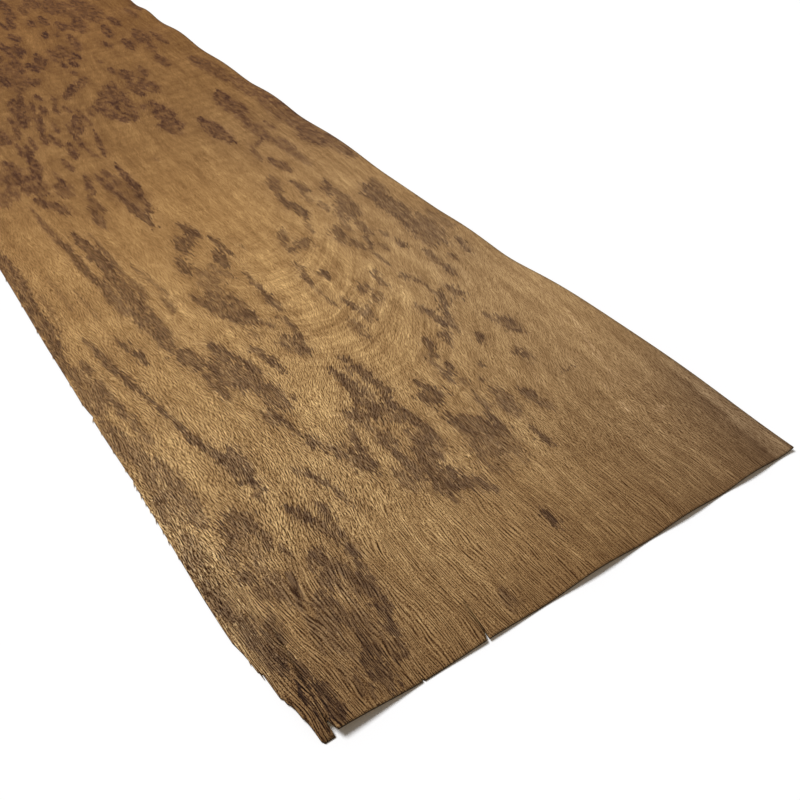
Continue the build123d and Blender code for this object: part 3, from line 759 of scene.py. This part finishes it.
class Nodes:
    """Short ways to add shader nodes to one material."""

    def __init__(self, material):
        material.use_nodes = True
        self.tree = material.node_tree
        self.tree.nodes.clear()

    def add(self, kind, inputs=(), **settings):
        node = self.tree.nodes.new(kind)
        for name, value in settings.items():
            setattr(node, name, value)
        for socket, value in dict(inputs).items():
            if isinstance(value, bpy.types.NodeSocket):
                self.tree.links.new(value, node.inputs[socket])
            else:
                node.inputs[socket].default_value = value
        return node

    def attribute(self, name, output="Fac"):
        return self.add("ShaderNodeAttribute", attribute_name=name).outputs[output]

    def maths(self, operation, *values):
        return self.add("ShaderNodeMath", dict(enumerate(values)), operation=operation).outputs[0]

    def vector(self, operation, *values):
        return self.add("ShaderNodeVectorMath", dict(enumerate(values)), operation=operation).outputs[0]

    def times(self, *values):
        return reduce(lambda product, value: self.maths("MULTIPLY", product, value), values)

    def plus(self, *values):
        return reduce(lambda total, value: self.maths("ADD", total, value), values)

    def noise(self, place, name):
        """Noise on both sides of zero, as NOISES has it."""
        across, along, detail, offset, strength = NOISES[name]
        scaled = self.vector("MULTIPLY", place, (1 / across, 1 / along, 1.0))
        moved = self.vector("ADD", scaled, (offset, offset, 0.0))
        inputs = {"Vector": moved, "Scale": 1.0, "Detail": detail, "Roughness": 0.5}
        node = self.add("ShaderNodeTexNoise", inputs, noise_dimensions="2D")
        return self.maths("MULTIPLY_ADD", node.outputs["Fac"], strength, -0.5 * strength)

    def lines(self, place, name):
        """That noise less a copy from beside it: fine lines along Y, with no broader bands."""
        beside = self.shifted(place, LINE_COPY * NOISES[name][0])
        return self.maths("SUBTRACT", self.noise(place, name), self.noise(beside, name))

    def marks(self, place, name, to_low=0.0, to_high=1.0):
        """That noise turned from to_low to to_high between its STEPS."""
        return self.between(self.noise(place, name), *STEPS[name], to_low, to_high)

    def between(self, value, low, high, to_low=0.0, to_high=1.0):
        """A smooth step from to_low to to_high as value goes from low to high."""
        inputs = dict(enumerate((value, low, high, to_low, to_high)))
        return self.add("ShaderNodeMapRange", inputs, interpolation_type="SMOOTHSTEP").outputs[0]

    def mix(self, share, first, second):
        """The first number or colour, the second where share is 1, and a mixture between."""
        kind, start, output = ("RGBA", 6, 2) if isinstance(first, tuple) else ("FLOAT", 2, 0)
        inputs = {0: share, start: first, start + 1: second}
        return self.add("ShaderNodeMix", inputs, data_type=kind).outputs[output]

    def shifted(self, place, across):
        """The place moved across the grain."""
        return self.vector("ADD", place, self.add("ShaderNodeCombineXYZ", {"X": across}).outputs[0])

    def seen_directly(self):
        """1 for what the camera sees, also by gloss or through glass, and 0 for other light."""
        path = self.add("ShaderNodeLightPath").outputs
        seen = self.maths("MAXIMUM", path["Is Camera Ray"], path["Is Glossy Ray"])
        return self.maths("MAXIMUM", seen, path["Is Transmission Ray"])


def patches_of_grain(n, grain, lean):
    """The place turned about the middle of its own small patch, so that the fibres of the patch,
    which lean as the wood does there, run along Y."""
    across, along = PATCH
    wobble = {"X": n.noise(grain, "patch_across"), "Y": n.noise(grain, "patch_along")}
    moved = n.vector("ADD", grain, n.add("ShaderNodeCombineXYZ", wobble).outputs[0])
    scaled = n.vector("MULTIPLY", moved, (1 / across, 1 / along, 1.0))
    cells = n.add("ShaderNodeTexVoronoi", {"Vector": scaled, "Scale": 1.0}, voronoi_dimensions="2D")
    middle = n.vector("MULTIPLY", cells.outputs["Position"], (across, along, 0.0))
    chance = n.add("ShaderNodeSeparateXYZ", {0: cells.outputs["Color"]}).outputs[0]
    angle = n.plus(lean, n.times(chance, 2 * PATCH_TURN), -PATCH_TURN)
    inputs = {"Vector": grain, "Center": middle, "Angle": angle}
    return n.add("ShaderNodeVectorRotate", inputs, rotation_type="Z_AXIS").outputs[0]


def fine_fibres(n, grain, straight, patched, pores):
    """Long straight fibres that give way to short ones, with pores and pale flecks among these."""
    turning = n.plus(n.attribute("short"), n.noise(grain, "turning"))
    short = n.between(turning, *STEPS["turning"])
    fibres = n.mix(short, n.lines(straight, "hair"), n.lines(patched, "dash"))
    fibres = n.plus(fibres, n.noise(grain, "grit"))
    fibres = n.maths("SMOOTH_MIN", fibres, FIBRE_LIMIT, FIBRE_SOFTNESS)
    flecks = n.times(n.marks(patched, "flecks"), FLECK)
    fibres = n.plus(fibres, FIBRE_RAISE, n.times(pores, short, PORE), flecks)
    return n.times(fibres, n.attribute("fibre"))


def flame_colour(n, grain, patched, far):
    """Depth of colour of the flames, below zero in pale streaks. Their ends break into teeth along
    the grain, their sides are ragged, and their middles are paler, streaky and uneven."""

    def by_distance(values):
        near, back = values
        return n.plus(n.times(far, back - near), near)

    strength = n.attribute("strength")
    teeth = n.times(n.noise(patched, "teeth"), by_distance(TEETH), n.attribute("rise"))
    ragged = n.times(n.noise(patched, "ragged"), by_distance(RAGGED))
    edge = n.plus(teeth, n.attribute("figure"), ragged, n.noise(grain, "patchy"))
    soft = n.plus(by_distance(SOFT), n.times(n.maths("ABSOLUTE", strength), CRISP))
    inside = n.between(edge, n.times(soft, -1.0), soft)
    hollow = n.times(n.noise(grain, "hollow"), by_distance(HOLLOW))
    depth = n.plus(n.times(ragged, RAGGED_DEPTH), n.attribute("depth"), hollow)
    middle = n.between(depth, *MIDDLE_DEPTHS, 1.0, by_distance(MIDDLE))
    streaky = n.marks(patched, "streaky", by_distance(STREAKED), 1.0)
    uneven = n.marks(grain, "uneven", by_distance(UNEVEN_LEAST), by_distance(UNEVEN_MOST))
    return n.times(inside, middle, streaky, uneven, strength)


def growth_arcs(n, grain, parts):
    """U-shaped arcs: even lines that wave, and uneven fine and broad ones."""
    waved = n.plus(n.noise(grain, "waved"), parts[2])
    place = n.add("ShaderNodeCombineXYZ", {"X": parts[0], "Y": waved}).outputs[0]
    even = n.times(n.maths("SINE", n.times(waved, 2 * pi / ARC_SPACING)), EVEN_ARCS)
    arcs = n.plus(even, n.noise(place, "fine_arcs"), n.noise(place, "broad_arcs"))
    return n.times(arcs, n.attribute("rippled"))


def wood_material():
    """Sliced face of the wood: fine fibres, open pores, growth arcs and dark flames. Brightness is
    summed as a logarithm, so that each layer darkens or lightens the one below."""
    material = bpy.data.materials.new("sliced_wood")
    n = Nodes(material)
    parts = n.add("ShaderNodeSeparateXYZ", {0: n.attribute("grain", "Vector")}).outputs
    grain = n.add("ShaderNodeCombineXYZ", {"X": parts[0], "Y": parts[1]}).outputs[0]
    far = n.attribute("far")

    # Places read along the fibres: long straight ones that wander a little, and interlocked patches
    wander = n.maths("SUBTRACT", n.noise(grain, "wander"), n.attribute("drift"))
    straight = n.shifted(grain, wander)
    patched = patches_of_grain(n, grain, n.attribute("lean"))
    pores = n.marks(patched, "pores")
    fibres = fine_fibres(n, grain, straight, patched, pores)
    brightness = n.plus(
        # Wood tone with painted light falloff and the crease's painted shade and highlight
        n.attribute("tone_and_painted_light"),
        fibres,
        n.noise(patched, "thread"),
        n.times(n.marks(patched, "pale_lines"), PALE_LINE),
        n.noise(straight, "band"),
        n.noise(grain, "streak"),
        n.noise(grain, "mottle"),
        n.times(n.noise(grain, "ring"), far),
        growth_arcs(n, grain, parts),
    )
    dark = flame_colour(n, grain, patched, far)
    cloud = n.times(n.marks(grain, "cloudy", *CLOUDY), n.attribute("cloud"), CLOUD_STRENGTH)
    flame = n.plus(n.times(dark, FLAME_STRENGTH), cloud)
    pale = n.maths("MAXIMUM", n.times(dark, -1.0), 0.0)

    # What each adds to red, green and blue: darker ground is redder and more saturated, darker
    # flames are greyer, and streaks paler than the ground are whiter
    hues = [
        (brightness, (1.0, 1.17, 1.28)),
        (flame, (1.0, 1.06, 0.89)),
        (n.times(flame, far), (0.0, 0.1, 0.04)),
        (pale, (0.0, 0.15, 0.90)),
        (n.attribute("grey"), (0.0, 0.06, 0.20)),
        (n.attribute("warmth"), (0.0, -0.11, -0.28)),
    ]
    channels = []
    for channel in range(3):
        total = 0.0
        for layer, powers in hues:
            total = n.plus(total, n.times(layer, powers[channel]))
        channels.append(n.maths("EXPONENT", total))
    shade = n.add("ShaderNodeCombineXYZ", dict(zip("XYZ", channels))).outputs[0]

    bump = n.add("ShaderNodeBump", {"Height": fibres, "Strength": 0.3, "Distance": 0.05 * MM})
    shader = n.add(
        "ShaderNodeBsdfPrincipled",
        {
            "Base Color": n.vector("MULTIPLY", shade, WOOD_COLOUR),
            "Roughness": n.plus(n.times(pores, 0.12), 0.78),
            "Specular IOR Level": 0.06,
            "Normal": bump.outputs[0],
        },
    )
    n.add("ShaderNodeOutputMaterial", {"Surface": shader.outputs[0]})
    return material


def painted_shade_edge_material():
    """Cut and torn edge of the leaf, rough, and darkened nearly to black with painted shade."""
    material = bpy.data.materials.new("cut_edge")
    n = Nodes(material)
    share = n.plus(n.noise(n.attribute("grain", "Vector"), "edge"), 0.5)
    shader = n.add(
        "ShaderNodeBsdfPrincipled",
        {
            "Base Color": n.mix(share, EDGE_SHADE_DARK, EDGE_SHADE_PALE),
            "Roughness": 0.85,
            "Specular IOR Level": 0.05,
        },
    )
    n.add("ShaderNodeOutputMaterial", {"Surface": shader.outputs[0]})
    return material


def white_floor():
    """A white floor that keeps the sheet's shadow."""
    side = FLOOR_HALF_SIDE
    corners = [(-side, -side), (side, -side), (side, side), (-side, side)]
    mesh = bpy.data.meshes.new("floor")
    mesh.from_pydata([(x, y, -FLOOR_DROP) for x, y in corners], [], [(0, 1, 2, 3)])
    material = bpy.data.materials.new("floor_white")
    n = Nodes(material)
    strength = n.times(n.seen_directly(), GLOW)
    diffuse = n.add("ShaderNodeBsdfDiffuse", {"Color": FLOOR_COLOUR})
    glow = n.add("ShaderNodeEmission", {"Color": GLOW_COLOUR, "Strength": strength})
    both = n.add("ShaderNodeAddShader", {0: diffuse.outputs[0], 1: glow.outputs[0]})
    n.add("ShaderNodeOutputMaterial", {"Surface": both.outputs[0]})
    mesh.materials.append(material)
    floor = add_object("floor", mesh)


def white_surrounding():
    """White all round where the camera sees it, and the even share of the light."""
    world = bpy.data.worlds.new("surrounding")
    bpy.context.scene.world = world
    world.use_nodes = True
    n = Nodes(world)
    strength = n.plus(n.times(n.seen_directly(), 1 - AMBIENT), AMBIENT)
    sky = n.add("ShaderNodeBackground", {"Color": (1, 1, 1, 1), "Strength": strength})
    n.add("ShaderNodeOutputWorld", {"Surface": sky.outputs[0]})


def soft_sun():
    """A broad high sun behind the sheet and to its left, with soft shadows."""
    data = bpy.data.lights.new("soft_sun", "SUN")
    data.angle = radians(SUN_ANGLE)
    data.energy = pi * (1 - AMBIENT) / sin(radians(SUN_HEIGHT))
    sun = add_object("soft_sun", data)
    sun.rotation_euler = Euler((radians(90 - SUN_HEIGHT), 0, radians(SUN_TURN)))


def photo_camera():
    """The camera at the photograph's place, angle and field of view."""
    data = bpy.data.cameras.new("camera")
    data.sensor_width = SENSOR
    data.lens = SENSOR * FOCAL_PIXELS / PHOTO_PIXELS
    data.clip_start, data.clip_end = 0.01, 50.0
    camera = add_object("camera", data)
    camera.location = (
        cad_low.x + CAMERA_ACROSS * MM,
        cad_low.y + CAMERA_ALONG * MM,
        CAMERA_HEIGHT * MM,
    )
    camera.rotation_euler = Euler((radians(90 - CAMERA_PITCH), 0, radians(-CAMERA_HEADING)))
    bpy.context.scene.camera = camera


leaf = build_sheet()
leaf.data.materials.append(wood_material())
leaf.data.materials.append(painted_shade_edge_material())
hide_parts(NODE)
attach(leaf, "root")

white_floor()
white_surrounding()
soft_sun()
photo_camera()
bpy.context.scene.view_settings.view_transform = "Standard"
